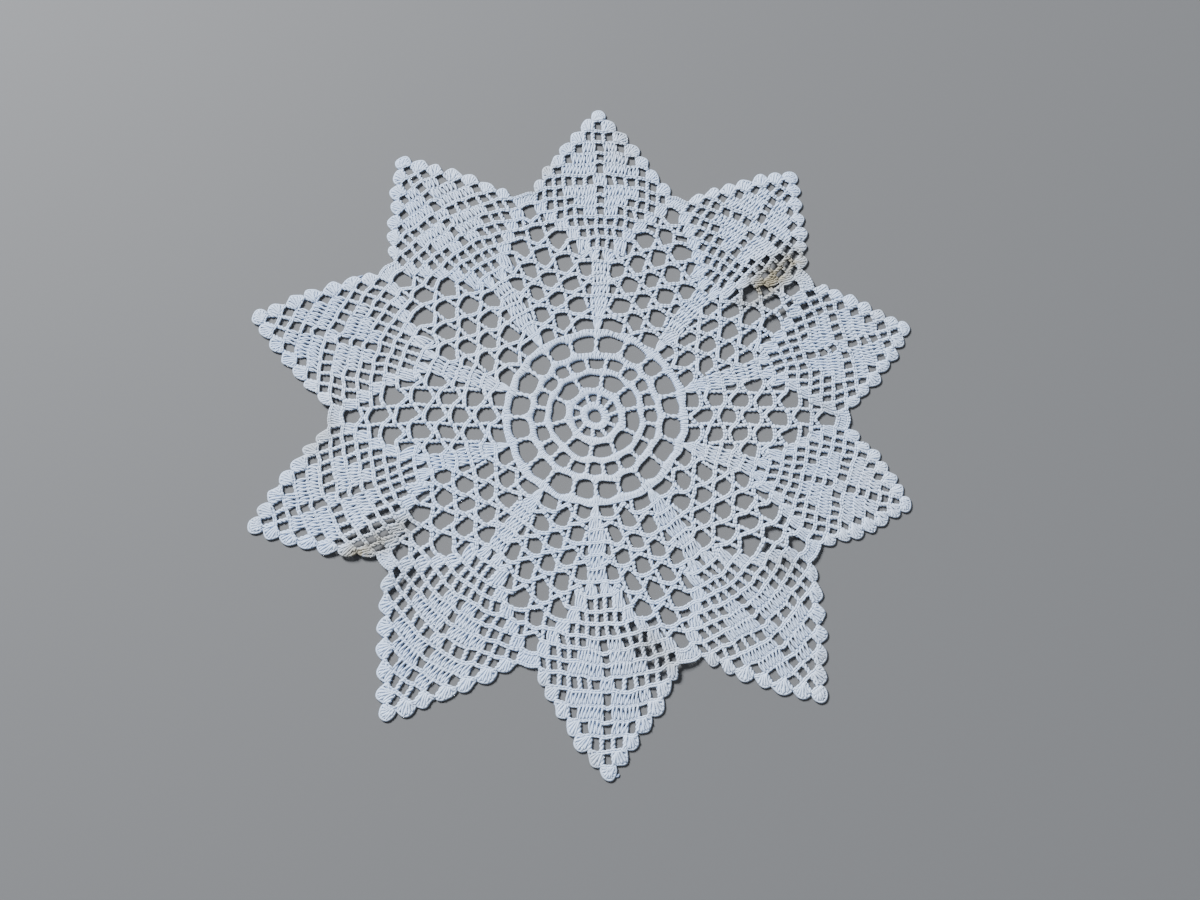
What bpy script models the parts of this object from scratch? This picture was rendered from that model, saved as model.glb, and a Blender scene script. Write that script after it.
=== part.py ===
"""Lace doily: a ten-pointed star of cotton thread, crocheted in one piece from the middle outwards.

The cloth is one flat sheet. Its outline is the edging's row of round shells, and its gaps are the open
spaces of the stitches: four rounds of gaps in the medallion, a net of tall gaps between ten solid
pillars, and a square mesh in each point. Every place is first worked out on an even chart, in rows and
stitches, and is then moved by the unevenness of the hand-made cloth.
"""

import bpy
import numpy as np

MM = 0.001

# The cloth
POINTS = 10
THICK = 1.2 * MM
THREAD = 1.25 * MM  # width of a post or a chain, left between two gaps

# Rows of the chart, from the medallion's edge outwards
RING_EDGE = 39.7 * MM
PILLAR_ROWS = 6
PILLAR_ROW = 5.3 * MM
STAR_ROWS = 14
STAR_ROW = 5.54 * MM
TALL_ROWS = 2  # the first rows of the star, of looser stitches
TALL_EXTRA = 0.8 * MM

# The medallion's rounds of gaps: how many, the gaps' inner and outer radius, the first post's turn from a
# pillar in degrees, the corners of each gap
CENTRE_HOLE = 2.7 * MM
ROUNDS = (
    # gaps, inner, outer, turn, corners
    (10, 12.5 * MM, 18.9 * MM, 7.6, 8),
    (20, 21.1 * MM, 26.4 * MM, 9.0, 6),
    (20, 28.8 * MM, 36.5 * MM, 0.0, 7),
)

# The net between two pillars: a post stands at each of these distances from the valley's middle line
INNER_POST = 3.9 * MM
OUTER_POST = 11.6 * MM
PILLAR_HALF = (1.9, 3.0, 3.1, 3.1, 3.2, 3.4)  # half the pillar's width at the top of each row, in mm
LACET = 3.4 * MM  # height from a bar to the fork of the two chains sewn to its middle
ARCH = 1.1 * MM  # rise of a bar in its middle
# Tall gaps of the net in each row, counted from the medallion: the columns that hold one, 0 between the two
# inner posts, 1 beyond them and 2 beside the pillar
NET_GAPS = {
    0: (-1, 1),
    1: (0,),
    2: (-1, 1),
    3: (-2, 0, 2),
    4: (-1, 1),
    5: (-2, 0, 2),
    6: (-1, 1),
    7: (0,),
    8: (-1, 1),
    9: (0,),
    11: (0,),
}

# The points: a row's cells are counted from the middle line, g for an open cell and b for a solid one, and
# pitch is the cells' width in that row
POINT_ROWS = (
    # cells, pitch, width of the solid edge
    ("g", 4.1 * MM, 4.2 * MM),
    ("gg", 3.8 * MM, 4.4 * MM),
    ("ggg", 4.05 * MM, 4.7 * MM),
    ("gggg", 4.4 * MM, 4.7 * MM),
    ("gbggg", 4.5 * MM, 4.7 * MM),
    ("gbbggg", 4.6 * MM, 4.7 * MM),
    ("gbbbggg", 4.65 * MM, 4.9 * MM),
    ("bggggg", 4.75 * MM, 4.2 * MM),
    ("gbbbg", 4.8 * MM, 4.9 * MM),
    ("gbbg", 4.9 * MM, 5.4 * MM),
    ("gbg", 4.9 * MM, 5.6 * MM),
    ("gg", 4.6 * MM, 6.0 * MM),
    ("g", 4.3 * MM, 6.0 * MM),
)
LADDER = 7  # the point's row with the widest open cells
CUT_CELLS = ((LADDER, -1), (LADDER, 1), (LADDER - 1, 0), (LADDER + 1, 0))  # row and cell
SHELL_RISE = 3.2 * MM
SHELL_ARC = (100.0, 55.0, 8.0, -38.0)  # degrees, from a shell's top round its outer side
TIP_RADIUS = 3.5 * MM
TIP_ARC = (-35.0, 215.0, 7)
VALLEY_ARC = ((-4.4, -1.2), (-2.4, 0.3), (0.0, 0.6), (2.4, 0.3), (4.4, -1.2))  # mm across, mm over the row

# How far the worked cloth is pulled off the even chart, clockwise from the top point, in mm. Each point: its
# shift clockwise at the pillar's foot, at the pillar's top, level with the valleys and at the tip, then its
# radius at the last three
UNEVEN_POINTS = (
    # foot, top, level, tip, top radius, level radius, tip radius
    (0.6, 2.8, 1.9, 1.0, 73.0, 111.3, 151.0),
    (4.0, 6.0, 6.1, 4.4, 75.0, 112.8, 149.4),
    (1.1, 1.4, 3.2, 4.3, 74.5, 110.4, 144.5),
    (0.6, 1.1, -2.3, -2.9, 71.2, 105.2, 138.5),
    (1.3, 2.1, -3.9, -3.8, 73.8, 111.8, 149.8),
    (-0.1, -1.0, -5.0, -5.2, 71.3, 110.0, 149.8),
    (-0.9, -0.3, -4.0, -6.0, 71.5, 111.5, 151.8),
    (-0.9, 1.1, -0.5, -1.6, 73.8, 113.7, 153.6),
    (-0.7, 1.0, -0.6, -2.2, 75.2, 118.3, 160.0),
    (-0.7, 1.7, -0.4, -0.5, 75.6, 116.5, 155.8),
)
# The valley on the clockwise side of each point
UNEVEN_VALLEYS = (
    # foot, top, level, top radius, level radius
    (3.1, 3.9, 3.7, 71.1, 110.7),
    (1.7, 3.0, 4.0, 74.0, 114.4),
    (0.1, 0.4, 1.8, 70.3, 107.9),
    (0.9, 1.9, -5.7, 70.5, 109.0),
    (0.8, 1.0, -4.6, 70.5, 109.6),
    (-1.0, -1.3, -6.4, 69.9, 108.3),
    (-1.0, 0.2, -0.5, 70.0, 108.6),
    (-0.4, 0.8, -0.7, 72.6, 114.4),
    (-0.3, 0.4, 1.0, 73.0, 117.3),
    (-0.9, 0.5, 1.3, 70.5, 111.6),
)
# Small wobble of hand tension: wave length and height in mm, direction in degrees
WOBBLE = (
    (31.0, 0.24, 20.0),
    (23.0, 0.24, 95.0),
    (17.0, 0.26, 150.0),
    (12.0, 0.24, 60.0),
    (11.0, 0.22, 5.0),
)

STEP = 2 * np.pi / POINTS
PILLAR_TOP = RING_EDGE + PILLAR_ROWS * PILLAR_ROW
VALLEY_ROW = PILLAR_ROWS + LADDER - 1


def row_top(row):
    """Radius of the top of a row on the even chart; row -1 is the medallion's edge."""
    in_pillar, in_star = min(row + 1, PILLAR_ROWS), max(row + 1 - PILLAR_ROWS, 0)
    return RING_EDGE + in_pillar * PILLAR_ROW + in_star * STAR_ROW + min(in_star, TALL_ROWS) * TALL_EXTRA


def around(values, angle):
    """Values given at equal turns round the doily, blended with half cosine waves at any angle."""
    values = np.asarray(values)
    place = np.mod(angle, 2 * np.pi) / (2 * np.pi) * len(values)
    first = np.floor(place).astype(int)
    share = (1 - np.cos(np.pi * (place - first))) / 2
    return values[first % len(values)] * (1 - share) + values[(first + 1) % len(values)] * share


def uneven(radius, angle):
    """Chart radius and angle (clockwise from the top) to x and y of the worked cloth."""
    stations = (RING_EDGE, PILLAR_TOP, row_top(VALLEY_ROW), row_top(PILLAR_ROWS + STAR_ROWS - 1))
    points, valleys = np.array(UNEVEN_POINTS) * MM, np.array(UNEVEN_VALLEYS) * MM
    past_level = valleys[:, 4] + stations[3] - stations[2]
    both = np.stack(
        [points, np.column_stack([valleys[:, :3], valleys[:, 2], valleys[:, 3:], past_level])], axis=1
    ).reshape(2 * POINTS, 7)
    shift = around(both[:, 0], angle) * np.clip(radius / RING_EDGE, 0, 1) ** 2
    far = np.minimum(radius, RING_EDGE)
    reached = np.full(len(both), RING_EDGE)
    for n in range(3):
        share = np.clip((radius - stations[n]) / (stations[n + 1] - stations[n]), 0, 1)
        shift = shift + around(both[:, n + 1] - both[:, n], angle) * share
        far = far + around(both[:, n + 4] - reached, angle) * share
        reached = both[:, n + 4]
    turn = angle + shift / np.maximum(far, RING_EDGE / 4)
    x, y = far * np.sin(turn), far * np.cos(turn)
    move_x, move_y = 0.0, 0.0
    for length, height, heading in WOBBLE:
        along = np.radians(heading)
        phase = (x * np.cos(along) + y * np.sin(along)) * 2 * np.pi / (length * MM) + length
        move_x = move_x + height * MM * np.sin(phase) * np.sin(along)
        move_y = move_y - height * MM * np.sin(phase + 1.3) * np.cos(along)
    return x + move_x, y + move_y


def on_cloth(middle, across, radius):
    """A closed run of chart places, across in metres clockwise from a middle line, as x and y pairs."""
    across, radius = np.asarray(across, dtype=float), np.asarray(radius, dtype=float)
    return np.stack(uneven(radius, middle + across / radius), axis=1)


def medallion_gaps():
    """The round hole in the middle and the rounds of rounded gaps about it."""
    turns = np.arange(POINTS) * STEP
    gaps = [np.stack([CENTRE_HOLE * np.sin(turns), CENTRE_HOLE * np.cos(turns)], axis=1)]
    for count, inner, outer, turn, corners in ROUNDS:
        middle, rise = (inner + outer) / 2, (outer - inner) / 2
        around_gap = (np.arange(corners) + 0.5) * 2 * np.pi / corners
        for n in range(count):
            angle = np.radians(turn) + (n + 0.5) * 2 * np.pi / count
            wide = middle * np.pi / count - THREAD * 0.6
            radius = middle - rise * 1.04 * np.cos(around_gap)
            across = wide * 1.12 * np.sin(around_gap) * radius / middle
            gaps.append(on_cloth(angle, across, radius))
    return gaps


def closed_by(row, side_half):
    """Distance from the valley's middle line to the solid pillar or edge beside the net, at a row's top."""
    radius = row_top(row)
    if row < PILLAR_ROWS:
        taken = PILLAR_HALF[max(row, 0)] * MM
    else:
        cells, pitch, edge = POINT_ROWS[row - PILLAR_ROWS]
        taken = (len(cells) - 0.5) * pitch + edge
    return min(radius * STEP / 2 - taken, side_half)


def net_gap(valley, row, column):
    """A tall gap of the net: a fork below, posts at its sides and a bar arched over it."""
    top, middle = row_top(row), row_top(row - 1)
    if column == 0:
        low = high = (-INNER_POST, INNER_POST)
    else:
        posts = (INNER_POST, OUTER_POST, OUTER_POST + 2 * INNER_POST)
        near, far = posts[abs(column) - 1], posts[abs(column)]
        low, high = ((near, closed_by(level, far + THREAD / 3)) for level in (row - 1, row))
        low, high = (tuple(sorted(np.sign(column) * place for place in pair)) for pair in (low, high))
    low, high = ((a + THREAD / 2, b - THREAD / 2) for a, b in (low, high))
    inner_low, inner_high = middle - THREAD * 0.15, top - THREAD * 1.1
    arched = top + ARCH - THREAD * 0.8
    if row == 0:
        on_ring = middle + THREAD * 0.6
        return on_cloth(
            valley,
            (low[0], low[1], high[1], sum(high) / 2, high[0]),
            (on_ring, on_ring, inner_high, arched, inner_high),
        )
    foot = row_top(row - 2) + LACET
    if abs(column) == 2 and row == 3:
        foot = middle - THREAD * 0.2  # a narrow gap over a solid pillar has no fork below it
    return on_cloth(
        valley,
        (sum(low) / 2, low[1], high[1], sum(high) / 2, high[0], low[0]),
        (foot, inner_low, inner_high, arched, inner_high, inner_low),
    )


def cell_gap(axis, row, cell):
    """An open cell of a point: posts at its sides and chains above and below."""
    pitch = POINT_ROWS[row][1]
    left, right = (cell - 0.5) * pitch + THREAD / 2, (cell + 0.5) * pitch - THREAD / 2
    low = row_top(PILLAR_ROWS + row - 1) + THREAD * 0.45
    high = row_top(PILLAR_ROWS + row) - THREAD * 0.45
    return on_cloth(axis, (left, right, right, left), (low, low, high, high))


def outline():
    """The edging, clockwise: round shells down a point's side, a flat shell in the valley, shells up the
    next side and a round shell on each tip."""
    runs = []
    tip_middle = row_top(PILLAR_ROWS + STAR_ROWS - 1) - TIP_RADIUS
    tip_turn = np.radians(np.linspace(*TIP_ARC))
    for n in range(POINTS):
        axis = n * STEP
        tip = (TIP_RADIUS * np.cos(tip_turn), tip_middle + TIP_RADIUS * np.sin(tip_turn))
        runs.append(on_cloth(axis, tip[0][::-1], tip[1][::-1]))
        sides = []
        for row in range(len(POINT_ROWS) - 1, LADDER - 1, -1):
            cells, pitch, edge = POINT_ROWS[row]
            start, top = (len(cells) - 0.5) * pitch, row_top(PILLAR_ROWS + row)
            arc = np.radians(SHELL_ARC)
            across = start + edge * (0.42 + 0.58 * np.cos(arc))
            sides.append((across, top + SHELL_RISE * (np.sin(arc) - 0.85)))
        runs += [on_cloth(axis, across, radius) for across, radius in sides]
        across, over = np.array(VALLEY_ARC).T * MM
        runs.append(on_cloth(axis + STEP / 2, across, row_top(VALLEY_ROW) + over))
        runs += [on_cloth(axis + STEP, -across[::-1], radius[::-1]) for across, radius in sides[::-1]]
    return np.concatenate(runs)


def gaps():
    """Every gap that is cut through, as closed runs of x and y pairs."""
    runs = medallion_gaps()
    for n in range(POINTS):
        valley = (n + 0.5) * STEP
        runs += [net_gap(valley, row, column) for row, columns in NET_GAPS.items() for column in columns]
        runs += [cell_gap(n * STEP, row, cell) for row, cell in CUT_CELLS]
    return runs


def cloth_curve(edge, holes):
    """A flat curve filled between its outer edge and its holes, as thick as the cloth."""
    curve = bpy.data.curves.new("doily", "CURVE")
    curve.dimensions = "2D"
    curve.fill_mode = "BOTH"
    curve.extrude = THICK / 2
    for run in [edge, *holes]:
        spline = curve.splines.new("POLY")
        spline.points.add(len(run) - 1)
        flat = np.zeros((len(run), 4))
        flat[:, :2], flat[:, 3] = run, 1
        spline.points.foreach_set("co", flat.ravel())
        spline.use_cyclic_u = True
    return curve


def cotton():
    """Bleached cotton crochet thread."""
    material = bpy.data.materials.new("cotton_thread")
    material.use_nodes = True
    shader = material.node_tree.nodes["Principled BSDF"]
    shader.inputs["Base Color"].default_value = (0.86, 0.87, 0.90, 1)
    shader.inputs["Roughness"].default_value = 0.85
    shader.inputs["Metallic"].default_value = 0.0
    return material


def main():
    for old in list(bpy.data.objects):
        bpy.data.objects.remove(old, do_unlink=True)
    collection = bpy.data.collections.new("lace_doily")
    bpy.context.scene.collection.children.link(collection)
    edge = outline()
    middle = (edge.min(axis=0) + edge.max(axis=0)) / 2
    doily = bpy.data.objects.new("doily", cloth_curve(edge - middle, [run - middle for run in gaps()]))
    doily.location.z = THICK / 2
    doily.data.materials.append(cotton())
    collection.objects.link(doily)


main()
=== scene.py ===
"""A ten-pointed lace doily: every stitch is laid down as cotton thread, row by row, from its middle."""

import bpy
import numpy as np
from mathutils import Matrix, Vector


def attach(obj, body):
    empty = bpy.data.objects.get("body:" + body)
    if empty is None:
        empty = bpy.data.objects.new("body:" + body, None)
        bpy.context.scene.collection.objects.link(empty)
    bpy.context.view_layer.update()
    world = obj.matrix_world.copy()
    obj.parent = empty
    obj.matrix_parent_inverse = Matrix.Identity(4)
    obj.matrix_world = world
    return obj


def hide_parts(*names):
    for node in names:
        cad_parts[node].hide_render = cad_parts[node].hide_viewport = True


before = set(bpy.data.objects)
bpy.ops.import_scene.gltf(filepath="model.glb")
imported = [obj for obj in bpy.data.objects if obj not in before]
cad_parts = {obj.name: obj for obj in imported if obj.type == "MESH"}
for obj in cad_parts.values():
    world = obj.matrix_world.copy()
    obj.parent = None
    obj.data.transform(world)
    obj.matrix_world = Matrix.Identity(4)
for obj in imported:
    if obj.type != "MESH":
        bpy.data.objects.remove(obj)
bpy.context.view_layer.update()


# ------------------------------------------------------------------------------------------- medallion
# The doily is worked from the middle in one bleached cotton thread of about size 30. The medallion has
# five bands of close stitches over chain arches, and single trebles carry each band over the open spaces
# to the next. It lies flat on the table, a little uneven, as hand-made lace does.

# every size is in mm until a mesh is made
POINTS = 10
TURN = 2 * np.pi / POINTS
CENTRE = (7.278, -0.834)  # the medallion's middle, from the middle of the doily's box
RING_EDGE = 39.7  # radius of the medallion
PILLAR_ROWS, PILLAR_ROW = 6, 5.3  # how many rows the pillars have, and the height of one
STAR_ROWS, STAR_ROW = 14, 5.54  # the same for the points, their tips included
TALL_ROWS, TALL_EXTRA = 2, 0.8  # how many of the points' first rows are taller, and by how much
VALLEY_ROW = 6  # the points' row that is level with the edge in the valleys
POINT_TURN = (
    # for each point, clockwise from the far one: how far it is shifted clockwise at its pillar's foot, at
    # the pillar's top, level with the valleys and at its tip, then its radius at the last three
    (0.6, 2.8, 1.9, 1.0, 73.0, 111.3, 151.0),
    (4.0, 6.0, 6.1, 4.4, 75.0, 112.8, 149.4),
    (1.1, 1.4, 3.2, 4.3, 74.5, 110.4, 144.5),
    (0.6, 1.1, -2.3, -2.9, 71.2, 105.2, 138.5),
    (1.3, 2.1, -3.9, -3.8, 73.8, 111.8, 149.8),
    (-0.1, -1.0, -5.0, -5.2, 71.3, 110.0, 149.8),
    (-0.9, -0.3, -4.0, -6.0, 71.5, 111.5, 151.8),
    (-0.9, 1.1, -0.5, -1.6, 73.8, 113.7, 153.6),
    (-0.7, 1.0, -0.6, -2.2, 75.2, 118.3, 160.0),
    (-0.7, 1.7, -0.4, -0.5, 75.6, 116.5, 155.8),
)
VALLEY_TURN = (
    # the same for the valley clockwise of each point, which has no tip: three shifts, then two radii
    (3.1, 3.9, 3.7, 71.1, 110.7),
    (1.7, 3.0, 4.0, 74.0, 114.4),
    (0.1, 0.4, 1.8, 70.3, 107.9),
    (0.9, 1.9, -5.7, 70.5, 109.0),
    (0.8, 1.0, -4.6, 70.5, 109.6),
    (-1.0, -1.3, -6.4, 69.9, 108.3),
    (-1.0, 0.2, -0.5, 70.0, 108.6),
    (-0.4, 0.8, -0.7, 72.6, 114.4),
    (-0.3, 0.4, 1.0, 73.0, 117.3),
    (-0.9, 0.5, 1.3, 70.5, 111.6),
)
HAND_TENSION = (
    # length, height and heading in degrees of the small waves that an uneven hand leaves; the last five
    # are single loose or tight stitches
    (31.0, 0.24, 20.0),
    (23.0, 0.24, 95.0),
    (17.0, 0.26, 150.0),
    (12.0, 0.24, 60.0),
    (11.0, 0.22, 5.0),
    (8.7, 0.17, 82.0),
    (7.3, 0.16, 33.0),
    (6.6, 0.14, 171.0),
    (5.9, 0.13, 124.0),
    (4.7, 0.10, 62.0),
)
WAVE_LEAD = 1.3  # how far a wave's move in y runs ahead of its move in x, in radians


def row_top(row):
    """Radius of the top of a row of trebles, all rows added up; row -1 is the medallion's edge."""
    in_pillar, in_star = min(row + 1, PILLAR_ROWS), max(row + 1 - PILLAR_ROWS, 0)
    return RING_EDGE + in_pillar * PILLAR_ROW + in_star * STAR_ROW + min(in_star, TALL_ROWS) * TALL_EXTRA


def around(values, angle):
    """Values set at equal turns round the doily, blended at any angle with half cosine waves."""
    values = np.asarray(values)
    place = np.mod(angle, 2 * np.pi) / (2 * np.pi) * len(values)
    first = np.floor(place).astype(int)
    share = (1 - np.cos(np.pi * (place - first))) / 2
    return values[first % len(values)] * (1 - share) + values[(first + 1) % len(values)] * share


def uneven(radius, angle):
    """Radius and clockwise angle of the even pattern to x and y of the cloth: each point and valley is
    pulled round and in or out by its own amount, in straight steps between four radii, and each wave of
    the hand's tension moves the cloth across its heading by a sine of the distance along it."""
    stations = (RING_EDGE, row_top(PILLAR_ROWS - 1), row_top(PILLAR_ROWS + VALLEY_ROW),
                row_top(PILLAR_ROWS + STAR_ROWS - 1))
    points, valleys = np.array(POINT_TURN), np.array(VALLEY_TURN)
    past_level = valleys[:, 4] + stations[3] - stations[2]
    valleys = np.column_stack([valleys[:, :3], valleys[:, 2], valleys[:, 3:], past_level])
    both = np.stack([points, valleys], axis=1).reshape(2 * POINTS, 7)
    shifts, reaches = both[:, :4], both[:, 4:]
    shift = around(shifts[:, 0], angle) * np.clip(radius / RING_EDGE, 0, 1) ** 2
    far = np.minimum(radius, RING_EDGE)
    reached = np.full(len(both), RING_EDGE)
    for n in range(3):
        share = np.clip((radius - stations[n]) / (stations[n + 1] - stations[n]), 0, 1)
        shift = shift + around(shifts[:, n + 1] - shifts[:, n], angle) * share
        far = far + around(reaches[:, n] - reached, angle) * share
        reached = reaches[:, n]
    turn = angle + shift / np.maximum(far, RING_EDGE / 4)
    x, y = far * np.sin(turn), far * np.cos(turn)
    move_x, move_y = 0.0, 0.0
    for length, height, heading in HAND_TENSION:
        along = np.radians(heading)
        phase = (x * np.cos(along) + y * np.sin(along)) * 2 * np.pi / length + length
        move_x = move_x + height * np.sin(phase) * np.sin(along)
        move_y = move_y - height * np.sin(phase + WAVE_LEAD) * np.cos(along)
    return x + move_x + CENTRE[0], y + move_y + CENTRE[1]


def on_cloth(middle, across, radius):
    """Places given across a middle line and out along it, as x and y of the cloth."""
    across, radius = np.broadcast_arrays(np.asarray(across, float), np.asarray(radius, float))
    return np.stack(uneven(radius, middle + across / radius), axis=-1)


SLIP, LIFT_SLIP = 0.07, 0.03  # how far stitches lie off their places and heights, as standard deviations
WIND_HIGH = 0.24  # how far the strands of a treble rise and dip as they wind
WIND_START, SPLAYED_START, START_SPREAD = 0.6, 0.15, 0.6  # turns at a strand's foot, and their spread
rng = np.random.default_rng(30)


def strands(place, lift, thick=1.0):
    """Runs of thread as x, y, z and thickness at each point. The ends narrow to 0.72 times the thickness,
    so that they sink into their neighbours: a steep half sine wave, cut off at 1, adds the rest."""
    lift = np.broadcast_to(lift, place.shape[:-1])
    rounded = np.minimum(1, np.sin(np.linspace(0, np.pi, place.shape[1])) * 2.4)
    narrow = np.broadcast_to(thick * (0.72 + 0.28 * rounded), lift.shape)
    return np.concatenate([place, lift[..., None], narrow[..., None]], axis=-1)


def trebles(foot, top, wide=(0.3, 0.4, 0.3), turns=1.2, level=0.56, steps=8, core=False, thick=1.0):
    """Trebles from foot to top. Two strands wind round each one's line: the cosine of their turn, times a
    half width given at the foot, middle and top, moves them aside, and its sine lifts them. One that
    stands alone splays at both ends, where it grips others. With a core, a third strand runs straight."""
    foot, top = np.atleast_2d(foot), np.atleast_2d(top)
    foot = foot + rng.normal(0, SLIP, foot.shape)
    top = top + rng.normal(0, SLIP, top.shape)
    share = np.linspace(0, 1, steps)[None, :]
    run = (top - foot)[:, None, :]
    aside = np.stack([-run[..., 1], run[..., 0]], axis=-1) / np.linalg.norm(run, axis=-1, keepdims=True)
    usual_start = SPLAYED_START if wide[0] > wide[1] else WIND_START
    start = rng.uniform(-START_SPREAD, START_SPREAD, (len(foot), 1)) + usual_start
    below, above = (wide[0] + 2 * wide[1]) / 3, (wide[2] + 2 * wide[1]) / 3
    spread = np.interp(share, (0, 0.2, 0.5, 0.8, 1), (wide[0], below, wide[1], above, wide[2]))
    spread = spread * rng.uniform(0.92, 1.08, (len(foot), 1))
    runs = []
    for half_turn in (0, np.pi):
        phase = start + 2 * np.pi * turns * share + half_turn
        place = foot[:, None, :] + run * share[..., None] + aside * (spread * np.cos(phase))[..., None]
        runs.append(strands(place, level + WIND_HIGH * np.sin(phase), thick))
    if core:
        straight = foot[:, None, :] + run * np.array([0.0, 0.5, 1.0])[:, None]
        runs.append(strands(straight, level, thick))
    return runs


def chain(line, wide=0.38, level=0.8, thick=1.0):
    """Chain stitches from each point of a line to the next: two legs leave the loop before, swell to both
    sides and close on top of the next loop, so that the line reads as a plait."""
    line = np.asarray(line)
    run = np.diff(line, axis=0)[:, None, :]
    aside = np.stack([-run[..., 1], run[..., 0]], axis=-1) / np.linalg.norm(run, axis=-1, keepdims=True)
    share = np.array([-0.06, 0.32, 0.74, 1.13])[None, :]
    swell = np.array([0.5, 1.0, 0.95, 0.6]) * np.broadcast_to(wide, len(run))[:, None]
    swell = swell * rng.uniform(0.9, 1.1, (len(run), 1))
    lift = np.array([-0.26, 0.04, 0.1, 0.22])[None, :] + np.broadcast_to(level, len(run))[:, None]
    lift = lift + rng.normal(0, LIFT_SLIP, (len(run), 1))
    legs = []
    for side in (-1, 1):
        place = line[:-1, None, :] + run * share[..., None] + aside * (side * swell)[..., None]
        legs.append(strands(place, lift, thick))
    return legs


MIDDLE_GAP = 2.7  # radius of the gap that the work starts round
EDGE_WAVE = 0.2  # how deep the medallion's edge waves
BAND_STITCHES = (20, 50, 96, 120, 160)
SPACE_ROUNDS = (
    # between the bands: how many open spaces, inner and outer radius, turn of their posts in degrees
    (10, 5.8, 9.5, 9.4),
    (10, 12.4, 19.0, 7.6),
    (20, 21.1, 26.5, 9.0),
    (20, 28.7, 36.6, 0.0),
)
ROUNDNESS = 2.1  # power of the spaces' ellipses; over 2 they are squarer
GRIP = 0.3  # how far the posts and plaits reach into the stitches beside them


def space_edge(space_round, angle, side):
    """Radius of the inner (side -1) or outer (side 1) edge of a round of open spaces. Each space is an
    ellipse of a power over 2 on a ring half as high, so that it is still open beside its posts."""
    posts, low, high, turn = space_round
    across = np.mod((angle - np.radians(turn)) * posts / (2 * np.pi), 1) * 2 - 1
    height = np.maximum(1 - np.abs(across) ** ROUNDNESS, 0) ** (1 / ROUNDNESS)
    return (low + high) / 2 + side * (high - low) / 2 * (0.5 + 0.53 * height)


def close_band(inner, outer, angle):
    """A band of double crochet over chain arches: each stitch is two legs rolled over the chain from the
    inner to the outer edge, with a plait along the outer edge."""
    middle = (angle[:-1] + angle[1:]) / 2
    low, high = (inner[:-1, None] + inner[1:, None]) / 2, (outer[:-1, None] + outer[1:, None]) / 2
    radius = low + (high - low) * np.linspace(0, 1, 6)[None, :]
    off_middle = np.array([0.34, 0.36, 0.34, 0.3, 0.24, 0.12])[None, :]
    level = np.array([0.3, 0.68, 0.9, 0.92, 0.86, 0.7])[None, :]
    runs = []
    for side in (-1, 1):
        lift = level + rng.normal(0, LIFT_SLIP, (len(middle), 1))
        runs.append(strands(on_cloth(middle[:, None], side * off_middle, radius), lift))
    return runs + chain(on_cloth(angle, 0.0, outer - GRIP), wide=0.28)


LIFTS = (
    # soft humps where the lace doesn't lie quite flat: x and y from the middle of the doily's box,
    # heading in degrees, half the length and width, height
    (81.0, 67.0, 43.0, 17.0, 7.0, 2.0),
    (93.0, 52.0, 43.0, 15.0, 7.0, 1.6),
    (-87.0, -53.0, 36.0, 17.0, 7.0, 2.0),
    (-80.0, -70.0, 36.0, 15.0, 7.0, 1.6),
    (24.0, -97.0, -55.0, 12.0, 6.0, 1.5),
    (42.0, -107.0, -40.0, 10.0, 6.0, 1.2),
    (84.0, -56.0, -30.0, 14.0, 7.0, 1.2),
    (-112.0, 2.0, 10.0, 12.0, 7.0, 1.0),
)
THREAD_WIDE, THREAD_HIGH = 0.47, 0.26  # half the thread's width and height, as it lies a little flattened
LACE_HIGH = 1.35  # no stitch stands higher than this over the table, apart from the humps
SIDES = 4


def uplift(x, y):
    """Height of the cloth above its flat lie: a sum of humps that fall off as a bell curve both ways."""
    height = np.zeros(np.shape(x))
    for middle_x, middle_y, heading, long, wide, high in LIFTS:
        along, aside = np.cos(np.radians(heading)), np.sin(np.radians(heading))
        run = ((x - middle_x) * along + (y - middle_y) * aside) / long
        off = ((y - middle_y) * along - (x - middle_x) * aside) / wide
        height += high * np.exp(-run**2 - off**2)
    return height


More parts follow.
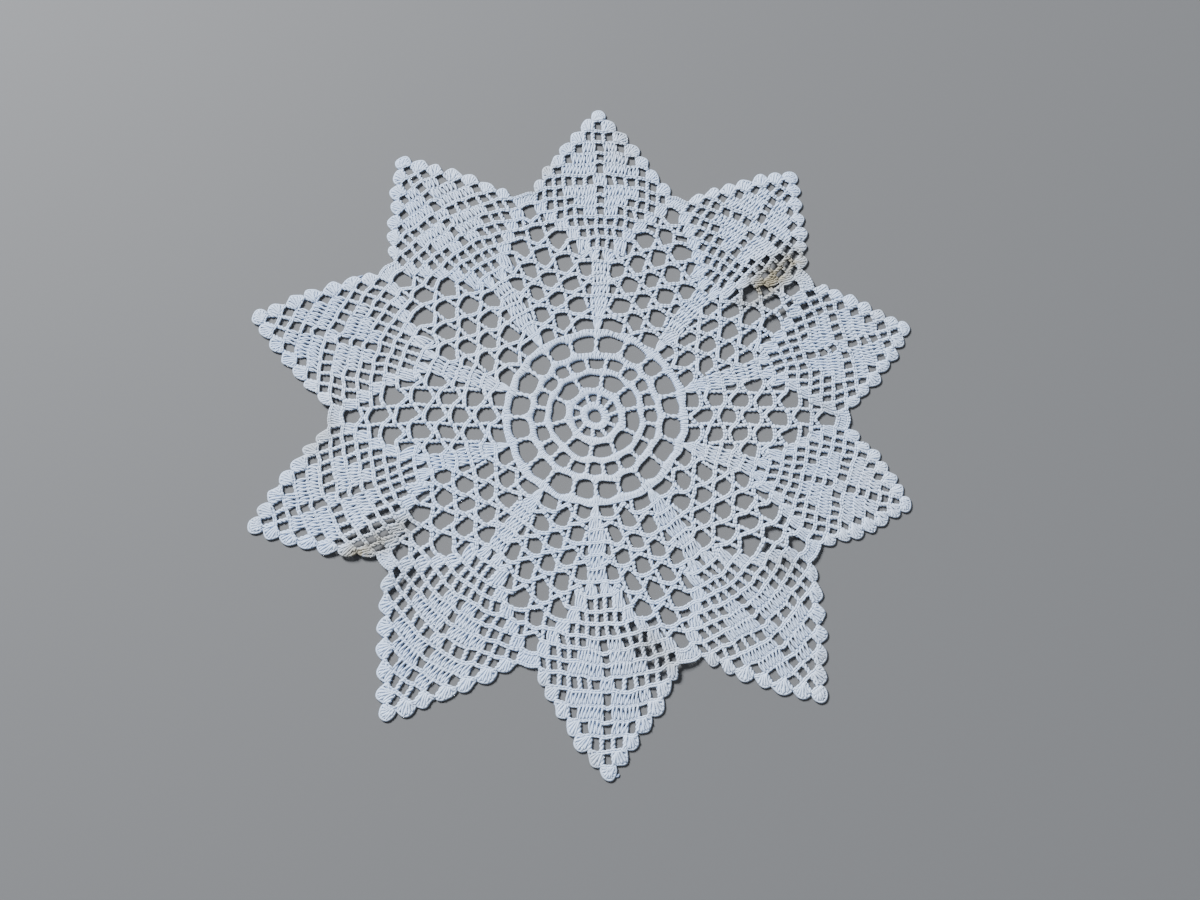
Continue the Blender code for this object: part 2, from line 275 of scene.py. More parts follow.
def cloth_mesh(name, runs, stain_and_shade_spots):
    """A mesh of thread. A run holds x, y, z and thickness at every point of its lines, and each line
    becomes a closed tube: a flattened round of four places about every point. The map's u goes once round
    the thread and its v along it, in mm. The stain attribute is a sum of spots that fall off as bell
    curves, for tan that is partly old stains and partly painted shade on the lifted folds. The depth
    attribute is the height within the lace, in mm, from which the material paints shade on the low
    strands."""
    points, faces, maps, first = [], [], [], 0
    ring = np.arange(SIDES) * 2 * np.pi / SIDES
    caps = np.stack([np.arange(SIDES) / SIDES, np.zeros(SIDES)], axis=-1)
    for run in runs:
        count, steps, _ = run.shape
        line = run[..., :3]
        along = np.gradient(line, axis=1)
        along /= np.linalg.norm(along, axis=-1, keepdims=True)
        side = np.cross(along, (0.0, 0.0, 1.0))
        side /= np.maximum(np.linalg.norm(side, axis=-1, keepdims=True), 1e-6)
        up = np.cross(side, along)
        thick = run[..., 3] * rng.uniform(0.93, 1.07, (count, 1))
        about = (side[:, :, None, :] * (THREAD_WIDE * np.cos(ring))[:, None]
                 + up[:, :, None, :] * (THREAD_HIGH * np.sin(ring))[:, None])
        points.append((line[:, :, None, :] + about * thick[..., None, None]).reshape(-1, 3))
        index = first + np.arange(count * steps * SIDES).reshape(count, steps, SIDES)
        after = np.roll(index, -1, axis=2)
        walls = np.stack([index[:, :-1], index[:, 1:], after[:, 1:], after[:, :-1]], axis=-1)
        faces += [walls.reshape(-1, 4), index[:, 0], index[:, -1, ::-1]]
        step = np.linalg.norm(np.diff(line, axis=1), axis=-1)
        length = np.concatenate([np.zeros((count, 1)), np.cumsum(step, axis=1)], axis=1)
        length += rng.uniform(0, 9, (count, 1))  # so that no two twists start alike
        u = np.broadcast_to(np.arange(SIDES) / SIDES, (count, steps - 1, SIDES))
        low = np.broadcast_to(length[:, :-1, None], u.shape)
        high = np.broadcast_to(length[:, 1:, None], u.shape)
        corners = ((u, low), (u, high), (u + 1 / SIDES, high), (u + 1 / SIDES, low))
        wall_map = np.stack([np.stack(corner, -1) for corner in corners], axis=-2)
        cap_map = np.broadcast_to(caps, (count, SIDES, 2))
        maps += [wall_map.reshape(-1, 4, 2), cap_map, cap_map]
        first += count * steps * SIDES
    points, faces, maps = np.concatenate(points), np.concatenate(faces), np.concatenate(maps)
    # the height within the lace, which the material turns into painted shade on the low strands
    depth = np.clip(points[:, 2], 0.0, LACE_HIGH)
    points[:, 2] = depth + uplift(points[:, 0], points[:, 1])
    mesh = bpy.data.meshes.new(name)
    mesh.vertices.add(len(points))
    mesh.vertices.foreach_set("co", (points * 0.001).astype(np.float32).ravel())
    mesh.loops.add(faces.size)
    mesh.loops.foreach_set("vertex_index", faces.astype(np.int32).ravel())
    mesh.polygons.add(len(faces))
    mesh.polygons.foreach_set("loop_start", np.arange(0, faces.size, 4, dtype=np.int32))
    mesh.update(calc_edges=True)
    mesh.shade_smooth()
    mesh.uv_layers.new(name="thread")
    mesh.uv_layers["thread"].data.foreach_set("uv", maps.astype(np.float32).ravel())
    # tan spots, partly old stains and partly painted shade on the lifted folds
    stain_and_shade = np.zeros(len(points))
    for x, y, reach, strength in stain_and_shade_spots:
        stain_and_shade += strength * np.exp(-((points[:, 0] - x) ** 2 + (points[:, 1] - y) ** 2) / reach**2)
    for label, values in (("stain_and_shade", np.minimum(stain_and_shade, 1)), ("depth", depth)):
        attribute = mesh.attributes.new(label, "FLOAT", "POINT")
        attribute.data.foreach_set("value", values.astype(np.float32))
    piece = bpy.data.objects.new(name, mesh)
    bpy.context.scene.collection.objects.link(piece)
    return piece


def cotton_thread():
    """Bleached cotton: cool white with a little yellow in places, two plies twisted along the thread,
    fine fibres, tan in spots that are partly old stains and partly painted shade on the lifted folds,
    and greyer with painted shade on the low strands deep between the stitches."""
    cool_white, yellowed = (0.56, 0.69, 0.92, 1), (0.66, 0.75, 0.90, 1)
    # the tan is partly old stains and partly painted shade on the lifted folds; the grey is painted shade
    stain_and_shade_tan, crevice_shade_grey = (0.33, 0.295, 0.205, 1), (0.24, 0.30, 0.42, 1)
    material = bpy.data.materials.new("cotton_thread")
    material.use_nodes = True
    nodes, links = material.node_tree.nodes, material.node_tree.links
    shader = nodes["Principled BSDF"]
    shader.inputs["Roughness"].default_value = 0.78
    shader.inputs["Specular IOR Level"].default_value = 0.3
    shader.inputs["Sheen Weight"].default_value = 0.15
    shader.inputs["Sheen Roughness"].default_value = 0.5
    shader.inputs["Subsurface Weight"].default_value = 0.0

    def node(kind, **values):
        """A new node with the values of its inputs, whose names are written with _ for a space."""
        made = nodes.new(kind)
        for key, value in values.items():
            made.inputs[key.replace("_", " ")].default_value = value
        return made

    place = node("ShaderNodeTexCoord")
    drift = node("ShaderNodeTexNoise", Scale=22.0, Detail=3.0, Roughness=0.6)
    links.new(place.outputs["Object"], drift.inputs["Vector"])
    yellowing = node("ShaderNodeValToRGB")
    first_stop, last_stop = yellowing.color_ramp.elements
    first_stop.position, first_stop.color = 0.35, cool_white
    last_stop.position, last_stop.color = 0.75, yellowed
    links.new(drift.outputs["Fac"], yellowing.inputs["Fac"])
    # tan spots, partly old stains and partly painted shade on the lifted folds, broken up by fine
    # blotches
    blotch = node("ShaderNodeTexNoise", Scale=240.0, Detail=3.0, Roughness=0.65)
    links.new(place.outputs["Object"], blotch.inputs["Vector"])
    blotch_share = node("ShaderNodeMapRange", From_Min=0.15, From_Max=0.45)
    links.new(blotch.outputs["Fac"], blotch_share.inputs["Value"])
    stain_and_shade = node("ShaderNodeAttribute")
    stain_and_shade.attribute_name = "stain_and_shade"
    patchy = node("ShaderNodeMath")
    patchy.operation = "MULTIPLY"
    links.new(stain_and_shade.outputs["Fac"], patchy.inputs[0])
    links.new(blotch_share.outputs["Result"], patchy.inputs[1])
    tinted = node("ShaderNodeMix")
    tinted.data_type = "RGBA"
    tinted.inputs["B"].default_value = stain_and_shade_tan
    links.new(patchy.outputs["Value"], tinted.inputs["Factor"])
    links.new(yellowing.outputs["Color"], tinted.inputs["A"])
    # painted shade: the lower a strand lies within the lace, the more its colour is multiplied by dark
    # blue grey
    height_within = node("ShaderNodeAttribute")
    height_within.attribute_name = "depth"
    depth = node("ShaderNodeMapRange", From_Min=0.8, From_Max=0.25)
    links.new(height_within.outputs["Fac"], depth.inputs["Value"])
    crevice_shade = node("ShaderNodeMix")
    crevice_shade.data_type, crevice_shade.blend_type = "RGBA", "MULTIPLY"
    crevice_shade.inputs["B"].default_value = crevice_shade_grey
    links.new(depth.outputs["Result"], crevice_shade.inputs["Factor"])
    links.new(tinted.outputs["Result"], crevice_shade.inputs["A"])
    links.new(crevice_shade.outputs["Result"], shader.inputs["Base Color"])

    ply_slant = np.radians(38)
    turn = node("ShaderNodeMapping", Rotation=(0, 0, ply_slant))
    links.new(place.outputs["UV"], turn.inputs["Vector"])
    plies = node("ShaderNodeTexWave", Scale=1.1, Distortion=0.6, Detail=1.0)
    links.new(turn.outputs["Vector"], plies.inputs["Vector"])
    fibres = node("ShaderNodeTexNoise", Scale=2600.0, Detail=2.0)
    links.new(place.outputs["Object"], fibres.inputs["Vector"])
    height = node("ShaderNodeMath")
    height.operation = "ADD"
    links.new(plies.outputs["Fac"], height.inputs[0])
    links.new(fibres.outputs["Fac"], height.inputs[1])
    bump = node("ShaderNodeBump", Strength=0.5, Distance=0.00009)
    links.new(height.outputs["Value"], bump.inputs["Height"])
    links.new(bump.outputs["Normal"], shader.inputs["Normal"])
    return material


cotton = cotton_thread()


def finish_piece(piece):
    """One region of the lace: cotton, riding with the doily, in place of its solid."""
    piece.data.materials.append(cotton)
    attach(piece, "root")
    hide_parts("doily")


medallion_runs = []
for n, stitches in enumerate(BAND_STITCHES):
    angle = np.linspace(0, 2 * np.pi, stitches + 1)
    inner = space_edge(SPACE_ROUNDS[n - 1], angle, 1) if n > 0 else np.full(len(angle), MIDDLE_GAP)
    if n < len(SPACE_ROUNDS):
        outer = space_edge(SPACE_ROUNDS[n], angle, -1)
    else:
        outer = RING_EDGE - EDGE_WAVE + EDGE_WAVE * np.cos(2 * POINTS * angle)
    medallion_runs += close_band(inner, outer, angle)
for posts, low, high, turn in SPACE_ROUNDS:
    post_angle = np.radians(turn) + np.arange(posts) * 2 * np.pi / posts
    foot, top = on_cloth(post_angle, 0.0, low - GRIP), on_cloth(post_angle, 0.0, high + GRIP)
    medallion_runs += trebles(foot, top, wide=(0.9, 0.5, 0.9), turns=1.5, core=True, thick=1.2)
medallion = cloth_mesh("medallion", medallion_runs, stain_and_shade_spots=())
finish_piece(medallion)


# ------------------------------------------------------------------------------- tenths of the border
# From every other post of the medallion's edge grows a pillar of five trebles, which opens into a point
# of filet mesh with solid blocks and shells. Clockwise of it follows its share of the net: posts, bars of
# five chains and lacets. One piece is a tenth of all this, in the medallion's cotton thread.

PILLAR_HALF = (1.9, 3.0, 3.1, 3.1, 3.2, 3.4)  # half the pillar's width at the top of each of its rows
FIRST_HALF = 0.35  # half the width of the stitch that it stands on
OVERHANG = 0.4  # how far the pillar's plaits pass its trebles
FAN_FEET, FAN_TOPS = (2.2, 3.7), (1.0, 5.6)  # where a fan's trebles start and end, from the middle line
FAN_CHAIN = 9.2  # half the length of the chain over the fans
SHOULDER_START, SHOULDER_LONG, SHOULDER_SLOPE = 6.2, 3, 0.55  # where and how steeply that chain falls
POINT_ROWS = (
    # cells from the middle line outwards, g open and b solid; width of a cell; width of the solid edge in
    # the widening rows, and of the shell in the narrowing ones
    ("g", 4.1, 4.2),
    ("gg", 3.8, 4.4),
    ("ggg", 4.05, 4.7),
    ("gggg", 4.4, 4.7),
    ("gbggg", 4.5, 4.7),
    ("gbbggg", 4.6, 4.7),
    ("gbbbggg", 4.65, 4.9),
    ("bggggg", 4.75, 4.2),
    ("gbbbg", 4.8, 4.9),
    ("gbbg", 4.9, 5.4),
    ("gbg", 4.9, 5.6),
    ("gg", 4.6, 6.0),
    ("g", 4.3, 6.0),
)
ARCHED_ROWS, ARCH_RISE = (4, 5, 6, 8), 0.75  # rows whose plait arches over the middle cell, and how high
CELL_RISE, RISE_SPREAD = 0.18, 0.15  # how high the plait rises over open cells, and by chance anywhere
OPEN_LEAN, CLOSE_SHARE = 0.4, 0.25  # how far an open cell's top leans, and the solid cells' share of it
SINK = 0.2  # how far below its row's top a treble ends, inside the plait
OVER = 0.1  # how far above its row's top the plait lies, where the next row's trebles stand on it
CLOSE_WIDE = (0.46, 0.46, 0.46)  # half widths of the trebles in solid work
EDGE_WIDE = (0.46, 0.5, 0.48)  # the same in the points' solid edges
EDGE_START, EDGE_END = 0.9, 0.3  # how far within a solid edge its first and last trebles end
EDGE_FEET = (-0.2, 3.4)  # where the solid edge's trebles start, from the end of the cells below
STAINS_AND_FOLD_SHADE = (
    # tan spots, partly old stains and partly painted shade on the lifted folds: x and y from the middle
    # of the doily's box, reach, strength
    (72.0, 51.0, 6.0, 0.4),
    (80.0, 57.5, 7.5, 0.8),
    (88.0, 65.0, 8.0, 0.9),
    (97.0, 73.0, 7.0, 0.8),
    (-100.0, -67.0, 6.0, 0.7),
    (-91.0, -61.5, 6.5, 0.9),
    (-82.0, -55.0, 6.5, 0.7),
    (-73.0, -49.0, 6.0, 0.6),
    (-73.0, -69.0, 9.0, 0.25),
    (28.5, -97.0, 6.0, 0.55),
    (36.5, -104.5, 6.0, 0.5),
    (53.0, -107.0, 6.0, 0.35),
    (-16.5, 120.0, 5.0, 0.5),
    (-23.5, 109.0, 5.0, 0.35),
    (-11.5, 133.0, 5.0, 0.3),
    (19.5, 140.0, 6.0, 0.4),
    (21.0, 127.0, 7.0, 0.25),
    (-110.0, -7.0, 7.0, 0.45),
    (-117.0, -15.0, 6.0, 0.35),
    (86.0, -65.5, 7.0, 0.4),
    (-136.0, -42.0, 5.0, 0.3),
    (-14.5, -114.0, 5.0, 0.35),
    (5.0, -142.0, 5.0, 0.35),
    (134.0, 48.0, 6.0, 0.3),
    (102.0, -104.0, 6.0, 0.3),
    (105.0, 2.0, 8.0, 0.3),
)
LOOSE_ENDS = {
    # points that have loose ends, and the bends of each end's path: across the point and out along it
    5: (
        ((19.5, 123.5), (21.2, 124.4), (23.0, 124.2)),
        ((-1.2, 148.6), (-3.2, 149.3), (-4.1, 149.6), (-4.3, 148.6)),
    ),
    8: (
        ((20.0, 121.0), (22.5, 121.8), (26.0, 120.9), (28.5, 118.6)),
        ((21.5, 120.4), (24.0, 120.2), (27.5, 117.8)),
    ),
}


def loose_end(axis, bends):
    """A frayed ply that has come out of the edge and lies on the table: nine places from bend to bend,
    smoothed twice, where each place becomes the mean of itself counted twice and its two neighbours."""
    bends = np.array(bends)
    place = np.linspace(0, len(bends) - 1, 9)
    across, out = (np.interp(place, np.arange(len(bends)), bends[:, k]) for k in (0, 1))
    for _ in range(2):
        across[1:-1], out[1:-1] = ((path[:-2] + 2 * path[1:-1] + path[2:]) / 4 for path in (across, out))
    return [strands(on_cloth(axis, across, out)[None], 0.3)]


def pillar(axis):
    """Five trebles a row: a fan from one stitch, then rows that stand on each other, a plait on each."""
    runs, feet, below = [], np.linspace(-FIRST_HALF, FIRST_HALF, 5), RING_EDGE - GRIP
    for row, half in enumerate(PILLAR_HALF):
        tops, above = np.linspace(-half, half, 5), row_top(row) - SINK
        wide = CLOSE_WIDE if row else (0.1, 0.3, 0.45)
        runs += trebles(on_cloth(axis, feet, below), on_cloth(axis, tops, above), wide, 0.6, 0.6, steps=7)
        ends = np.linspace(-half - OVERHANG, half + OVERHANG, 6)
        runs += chain(on_cloth(axis, ends, row_top(row) + OVER / 2))
        feet, below = tops, above
    return runs


def shoulder(across):
    """How far the chain over the fans falls back beside them: a straight slope that ends in a level."""
    return SHOULDER_SLOPE * np.clip(np.abs(across) - SHOULDER_START, 0, SHOULDER_LONG)


def fans(axis):
    """The point's first row: two fans, each from one stitch on the pillar's top, that lean together over
    an open triangle. A chain joins them and falls back at both ends, where the next row stands."""
    runs, low, top = [], row_top(PILLAR_ROWS - 1) - OVER, row_top(PILLAR_ROWS)
    for side in (-1, 1):
        foot = on_cloth(axis, side * np.linspace(*FAN_FEET, 5), low)
        head = on_cloth(axis, side * np.linspace(*FAN_TOPS, 5), top - SINK)
        runs += trebles(foot, head, wide=(0.3, 0.5, 0.48), turns=0.8)
    ends = np.linspace(-FAN_CHAIN, FAN_CHAIN, 13)
    return runs + chain(on_cloth(axis, ends, top + OVER - shoulder(ends)))


def mesh_row(axis, n):
    """One row of the point's mesh: a treble at each cell's edges and at every third of the solid cells,
    and a plait over the whole row that rises a little over the open cells. The tops of open cells lean to
    one side by chance, and those of solid cells less so."""
    cells, pitch, _ = POINT_ROWS[n]
    below_pitch = POINT_ROWS[n - 1][1]
    top, low = row_top(PILLAR_ROWS + n), row_top(PILLAR_ROWS + n - 1)

    def solid_at(place):
        """Whether places, counted in cells from the middle line, lie in a solid cell."""
        cell = np.minimum(np.round(np.abs(place)).astype(int), len(cells) - 1)
        return np.array([letter == "b" for letter in cells])[cell]

    span = len(cells) - 0.5
    place = np.linspace(-span, span, 3 * (2 * len(cells) - 1) + 1)
    edge = np.arange(len(place)) % 3 == 0
    close = solid_at(place - 0.01) | solid_at(place + 0.01)
    lean = rng.uniform(-OPEN_LEAN, OPEN_LEAN, len(place)) * np.where(close, CLOSE_SHARE, 1.0)
    across = place * pitch + lean
    kinds = (
        # which trebles stand there, their half widths, turns, steps and thickness
        (close, CLOSE_WIDE, 0.6, 7, 1.0),
        (edge & ~close, (0.75, 0.5, 0.75), 1.5, 8, 1.25),
    )
    runs = []
    for standing, wide, turns, steps, thick in kinds:
        feet = on_cloth(axis, place[standing] * below_pitch, low + OVER)
        tops = on_cloth(axis, across[standing], top - SINK)
        runs += trebles(feet, tops, wide, turns, 0.6, steps, thick=thick)
    rise = np.where(edge | close, 0.0, CELL_RISE) + rng.uniform(-RISE_SPREAD, RISE_SPREAD, len(place))
    if n in ARCHED_ROWS:
        rise = rise + np.where(np.abs(place) < 0.4, ARCH_RISE, 0.0)
    over_solid = solid_at((place[:-1] + place[1:]) / 2)
    line = on_cloth(axis, across, top + OVER + rise)
    return runs + chain(line, wide=np.where(over_solid, 0.3, 0.46), level=np.where(over_solid, 0.55, 0.8))


def solid_edge(axis, n):
    """Four trebles at each end of a widening row, so close that they make a solid block."""
    cells, pitch, edge = POINT_ROWS[n]
    start, foot_start = (len(cells) - 0.5) * pitch, (len(cells) - 0.5) * POINT_ROWS[n - 1][1]
    top, low = row_top(PILLAR_ROWS + n), row_top(PILLAR_ROWS + n - 1)
    runs = []
    for side in (-1, 1):
        tops = side * (start + np.linspace(EDGE_START, edge - EDGE_END, 4))
        feet = side * (foot_start + np.linspace(*EDGE_FEET, 4))
        footing = low + OVER - (shoulder(feet) if n == 1 else 0)
        foot, head = on_cloth(axis, feet, footing), on_cloth(axis, tops, top - SINK)
        runs += trebles(foot, head, EDGE_WIDE, turns=0.6, level=0.62, steps=7)
        ends = side * (start + np.linspace(0, edge + 0.1, 4))
        runs += chain(on_cloth(axis, ends, top + OVER))
    return runs


SHELL_FOOT = 0.3  # how far above the row's foot the valley's and the tip's trebles start
VALLEY_FEET = 2.6  # half the width that the valley shell's trebles start from
VALLEY_RISE, VALLEY_FALL = 0.5, 0.9  # how far its edge passes its row's top, and falls to its ends
TREBLE_FALL = 0.6  # how far the trebles fall off to its ends
SHELL_ROW = 7  # the first narrowing row, where the round shells begin
SHELL_RISE = 3.2  # height of a round shell; its width is in the list of rows
SHELL_TURNS = (104.0, 74.0, 43.0, 10.0, -26.0)  # where its trebles end round its edge, in degrees
SHELL_RIM = (125.0, -66.0)  # where its edge starts and ends
SHELL_MIDDLE, SHELL_REACH = 0.42, 0.58  # shares of its width: where its edge turns about, and how far out
SHELL_LEVEL = 0.85  # share of its height that lies below its row's top
SHELL_FEET = (0.4, 2.9)  # where its trebles start, from the end of the cells below
TIP_RADIUS = 3.5
TIP_FAN, TIP_RIM = (190.0, -10.0), (222.0, -42.0)  # turns that the tip's trebles and edge span
THREAD_INSET = 0.4  # how far the edge's thread lies within the edge
RIM_THICK = 1.2  # how much thicker that thread is


def valley_shell(valley):
    """The wide flat shell in the valley, shared by two points: its edge falls off with the square of the
    distance from the middle line."""
    top, low = row_top(PILLAR_ROWS + VALLEY_ROW), row_top(PILLAR_ROWS + VALLEY_ROW - 1)
    half = top * TURN / 2 - (len(POINT_ROWS[VALLEY_ROW][0]) - 0.5) * POINT_ROWS[VALLEY_ROW][1]
    ends = np.linspace(-half, half, 9)
    tops = ends[1:-1]
    foot = on_cloth(valley, np.linspace(-VALLEY_FEET, VALLEY_FEET, 7), low + SHELL_FOOT)
    head = on_cloth(valley, tops, top - OVER - TREBLE_FALL * (tops / half) ** 2)
    runs = trebles(foot, head, wide=(0.25, 0.42, 0.5))
    return runs + chain(on_cloth(valley, ends, top + VALLEY_RISE - VALLEY_FALL * (ends / half) ** 2))


def shell_edge(turn):
    """How far a shell's edge reaches outwards and upwards at a turn, as shares: the cosine and the sine
    raised to the power 0.75 with their signs kept, which squares the round softly, and the cosine to 0.4
    on the lower side, where the shell rests broadly on the one before it."""
    outwards, upwards = np.cos(turn), np.sin(turn)
    power = np.where(turn < 0, 0.4, 0.75)
    return np.sign(outwards) * np.abs(outwards) ** power, np.sign(upwards) * np.abs(upwards) ** 0.75


def round_shell(axis, n):
    """A shell at each end of a narrowing row: five trebles lie close in a fan from one space, and the
    thread that joins their tops makes a smooth round edge."""
    cells, pitch, edge = POINT_ROWS[n]
    start, foot_start = (len(cells) - 0.5) * pitch, (len(cells) - 0.5) * POINT_ROWS[n - 1][1]
    top, low = row_top(PILLAR_ROWS + n), row_top(PILLAR_ROWS + n - 1)
    runs = []
    for side in (-1, 1):
        turn = np.radians(SHELL_TURNS) + rng.uniform(-0.06, 0.06)
        rise, width = rng.uniform(0.9, 1.12, 2) * (SHELL_RISE, edge)
        outwards, upwards = shell_edge(turn)
        tops = start + (width - 0.5) * (SHELL_MIDDLE + SHELL_REACH * outwards)
        head = on_cloth(axis, side * tops, top + rise * (upwards - SHELL_LEVEL) - 0.5)
        feet = on_cloth(axis, side * (foot_start + np.linspace(*SHELL_FEET, 5)), low + 0.35)
        runs += trebles(feet, head, wide=(0.36, 0.5, 0.62), turns=0.5, level=0.72, thick=1.18)
        outwards, upwards = shell_edge(np.radians(np.linspace(*SHELL_RIM, 14)))
        across = start + width * SHELL_MIDDLE + (width * SHELL_REACH - THREAD_INSET) * outwards
        rim = on_cloth(axis, side * across, top + rise * (upwards - SHELL_LEVEL) - 0.35)
        runs.append(strands(rim[None], 0.6, RIM_THICK))
    return runs


def tip_shell(axis):
    """Eight trebles lie close in a fan from the last open cell, within a smooth edge that is round."""
    top, low = row_top(PILLAR_ROWS + STAR_ROWS - 1), row_top(PILLAR_ROWS + STAR_ROWS - 2)
    middle, fan, rim = top - TIP_RADIUS, TIP_RADIUS - 2 * THREAD_INSET, TIP_RADIUS - THREAD_INSET
    turn = np.radians(np.linspace(*TIP_FAN, 8))
    feet = on_cloth(axis, np.linspace(-1.0, 1.0, 8), low + SHELL_FOOT)
    head = on_cloth(axis, fan * np.cos(turn), middle + fan * np.sin(turn))
    runs = trebles(feet, head, wide=(0.3, 0.4, 0.45), turns=1.0, level=0.72, thick=1.1)
    turn = np.radians(np.linspace(*TIP_RIM, 18))
    edge = on_cloth(axis, rim * np.cos(turn), middle + rim * np.sin(turn))
    return runs + [strands(edge[None], 0.6, RIM_THICK)]


def point_mesh(axis):
    """Everything of one point but its pillar: fans, mesh rows, solid edges and shells."""
    runs = fans(axis) + valley_shell(axis + TURN / 2) + tip_shell(axis)
    for row in range(1, len(POINT_ROWS)):
        runs += mesh_row(axis, row)
        if row < VALLEY_ROW:
            runs += solid_edge(axis, row)
        if row >= SHELL_ROW:
            runs += round_shell(axis, row)
    return runs


INNER_POST, OUTER_POST = 3.9, 11.6  # how far the net's posts stand from the valley's middle line
BAR_ARCH, CELL_ARCH = 1.3, 0.3  # how high a bar and a narrow cell's chains arch
NET_TUCK = 0.25  # how far the net reaches into the pillar or the point
POST_SWAY = 0.35  # how far the net's posts stand out of line
LACET_SINK = 0.1  # how deep the lacet's treble stands in the bar below
LACET_FOOT, LACET_FORK = 1.5, 1.2  # height of that treble, and where the lacet's arms leave it
LACET_DROP = 1.1  # how far below its row's top a lacet's right arm ends
LACET_BOW, STRAIGHT_DROP = 0.5, 0.6  # how much an arm bows for its drop, and the drop of a straight one
NET_ROWS = (
    # how many posts on each side of the middle line; what stands in each column from left to right: B a
    # bar, L a lacet, E a narrow cell with two chains
    (1, "BLB"),
    (1, "LBL"),
    (2, "EBLBE"),
    (2, "BLBLB"),
    (2, "LBLBL"),
    (2, "BLBLB"),
    (2, "LBLBL"),
    (2, "ELBLE"),
    (1, "BLB"),
    (1, "EBE"),
    (1, "ELE"),
    (0, "B"),
)


def net_places(valley, row):
    """Where the pillar or the point closes the net on both sides at a row's top, and its posts between,
    which stand a little out of line by a sine of the row's number."""
    posts = NET_ROWS[max(row, 0)][0]
    if row < PILLAR_ROWS:
        taken = PILLAR_HALF[max(row, 0)]
    else:
        cells, pitch, edge = POINT_ROWS[row - PILLAR_ROWS]
        taken = (len(cells) - 0.5) * pitch + edge
    half = row_top(row) * TURN / 2 - taken + NET_TUCK
    right = [INNER_POST, OUTER_POST][:posts] + [half]
    places = np.array([-place for place in right[::-1]] + right)
    places[1:-1] += POST_SWAY * np.sin(2.4 * row + 5.0 * valley + np.arange(2 * posts))
    return places


def lacet(valley, left, right, base, top):
    """A short treble on the bar below, and two arms of three chains that open from it to the posts. The
    right arm ends lower. The left one sags and the right one bows up, both by half a sine wave."""
    middle, share = (left + right) / 2, np.linspace(0, 1, 4)
    foot, head = on_cloth(valley, [middle], [base]), on_cloth(valley, [middle], [base + LACET_FOOT])
    runs = trebles(foot, head, wide=(0.7, 0.45, 0.7), turns=0.5)
    for end, drop in ((left, 0.0), (right, LACET_DROP)):
        bow = LACET_BOW * np.sin(np.pi * share) * (drop - STRAIGHT_DROP)
        out = base + LACET_FORK + (top - drop - base - LACET_FORK) * share + bow
        runs += chain(on_cloth(valley, middle + (end - middle) * share, out), 0.44, 0.72, 1.1)
    return runs


def net_row(valley, row):
    """One row of the net: its posts, and over each column a bar, a narrow cell's chains or a lacet. Bars
    and chains arch as half a sine wave to the power 0.8."""
    posts, kinds = NET_ROWS[row]
    top, low = row_top(row), row_top(row - 1)
    places, below = net_places(valley, row), net_places(valley, row - 1)
    runs = []
    if posts:
        inner = places[1:-1]
        feet = on_cloth(valley, np.clip(inner, below[0] + GRIP, below[-1] - GRIP), low)
        head = on_cloth(valley, inner, top)
        runs += trebles(feet, head, wide=(0.75, 0.45, 0.75), turns=1.5, core=True, thick=1.12)
    for kind, left, right in zip(kinds, places, places[1:]):
        if kind == "L":
            runs += lacet(valley, left, right, low + (BAR_ARCH if row else 0.0) - LACET_SINK, top)
        else:
            share = np.linspace(0, 1, 6 if kind == "B" else 3)
            arch = (BAR_ARCH if kind == "B" else CELL_ARCH) * np.sin(np.pi * share) ** 0.8
            line = on_cloth(valley, left + (right - left) * share, top + arch)
            runs += chain(line, wide=0.47, thick=1.1)
    return runs


for n in range(POINTS):
    axis, valley = n * TURN, (n + 0.5) * TURN
    tenth_runs = pillar(axis) + point_mesh(axis)
    for bends in LOOSE_ENDS.get(n, ()):
        tenth_runs += loose_end(axis, bends)
    for row in range(len(NET_ROWS)):
        tenth_runs += net_row(valley, row)
    tenth = cloth_mesh(f"tenth_{n}", tenth_runs, STAINS_AND_FOLD_SHADE)
    finish_piece(tenth)


# -------------------------------------------------------------------------------------- table and light
# A plain pale table under the doily, a broad soft light from the upper left, a weaker one from the right,
# and a camera that looks down on the doily from the near side.

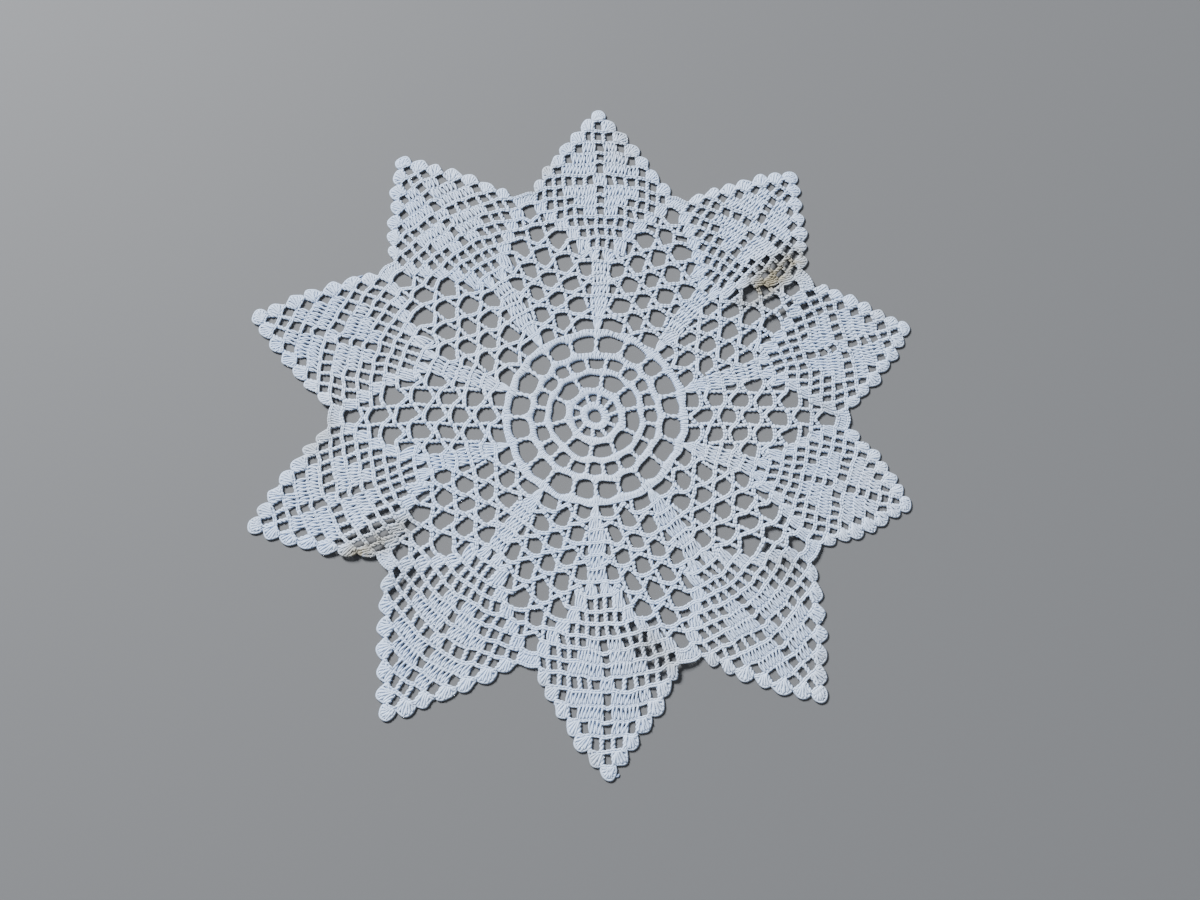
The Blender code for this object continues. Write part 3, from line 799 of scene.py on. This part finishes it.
TABLE_HALF = 1.6
CAMERA_PLACE = (0.01127, -0.12682, 0.3998)
CAMERA_TILT, CAMERA_ROLL = 15.5, 1.1

corners = [(x * TABLE_HALF, y * TABLE_HALF, 0.0) for x, y in ((-1, -1), (1, -1), (1, 1), (-1, 1))]
table_mesh = bpy.data.meshes.new("table_top")
table_mesh.from_pydata(corners, [], [(0, 1, 2, 3)])
table_top = bpy.data.objects.new("table_top", table_mesh)
bpy.context.scene.collection.objects.link(table_top)
paint = bpy.data.materials.new("pale_paint")
paint.use_nodes = True
paint.node_tree.nodes["Principled BSDF"].inputs["Base Color"].default_value = (0.135, 0.138, 0.144, 1)
paint.node_tree.nodes["Principled BSDF"].inputs["Roughness"].default_value = 0.8
table_mesh.materials.append(paint)


def soft_light(name, place, size, watts, colour):
    """A square area light aimed at the doily's middle."""
    lamp = bpy.data.lights.new(name, "AREA")
    lamp.energy, lamp.size, lamp.color = watts, size, colour
    light = bpy.data.objects.new(name, lamp)
    light.location = place
    light.rotation_mode = "QUATERNION"
    light.rotation_quaternion = Vector(place).to_track_quat("Z", "Y")
    bpy.context.scene.collection.objects.link(light)


soft_light("window_light", place=(-2.0, 2.2, 2.0), size=1.0, watts=410.0, colour=(0.97, 0.985, 1.0))
soft_light("fill_light", place=(1.6, -0.8, 1.8), size=1.6, watts=10.0, colour=(0.9, 0.95, 1.0))
world = bpy.data.worlds.new("room")
world.use_nodes = True
world.node_tree.nodes["Background"].inputs["Color"].default_value = (0.85, 0.9, 1.0, 1)
world.node_tree.nodes["Background"].inputs["Strength"].default_value = 0.16
bpy.context.scene.world = world

camera_data = bpy.data.cameras.new("camera")
camera_data.sensor_width, camera_data.lens = 36.0, 29.1
camera = bpy.data.objects.new("camera", camera_data)
roll = np.radians(CAMERA_ROLL)
tilt_axis = Vector((np.cos(roll), np.sin(roll), 0))
tilting = Matrix.Rotation(np.radians(CAMERA_TILT), 4, tilt_axis)
camera.matrix_world = Matrix.Translation(CAMERA_PLACE) @ tilting
bpy.context.scene.collection.objects.link(camera)
bpy.context.scene.camera = camera
